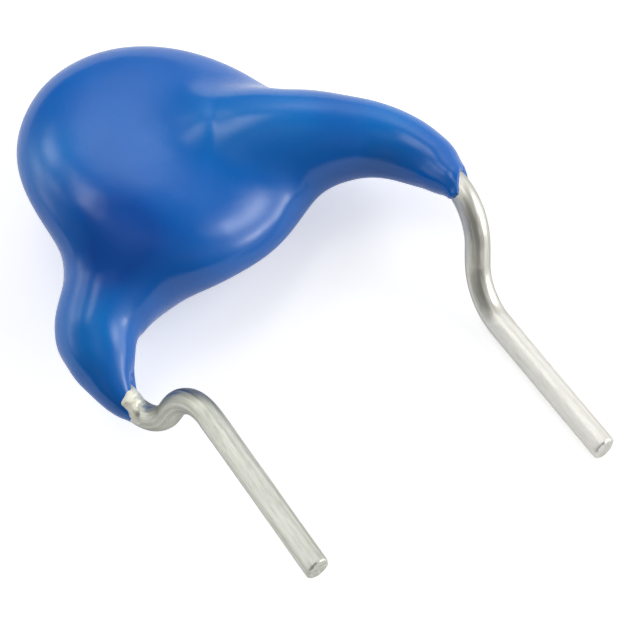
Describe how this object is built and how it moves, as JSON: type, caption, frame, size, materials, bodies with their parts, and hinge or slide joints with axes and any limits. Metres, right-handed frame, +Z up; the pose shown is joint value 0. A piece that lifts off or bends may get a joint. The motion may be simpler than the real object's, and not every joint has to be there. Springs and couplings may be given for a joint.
{
  "type": "ceramic disc capacitor",
  "caption": "Radial ceramic disc capacitor: thin round body dipped in glossy blue coating, with coated sleeves down two kinked tinned wire leads, lying as it comes to rest.",
  "frame": {"origin": "middle of the part's bounds, on the surface it lies on", "axes": "+Z up, out of the surface it lies on; +Y from the cut ends of the leads towards the coated disc; +X across the leads, towards the front lead"},
  "size_m": [0.01, 0.0144, 0.0035],
  "materials": {
    "epoxy_coat": "glossy dipped epoxy, slightly uneven",
    "ceramic": "fired, bare",
    "silver_film": "matt fired silver",
    "solder": "smooth solder",
    "tinned_wire": "dull hot-dipped tin, drawn streaks"
  },
  "bodies": {
    "root": {"coating": "epoxy_coat", "ceramic_disc": "ceramic", "electrode_front": "silver_film", "electrode_rear": "silver_film", "solder_front": "solder", "solder_rear": "solder", "lead_front": "tinned_wire", "lead_rear": "tinned_wire"}
  },
  "joints": []
}
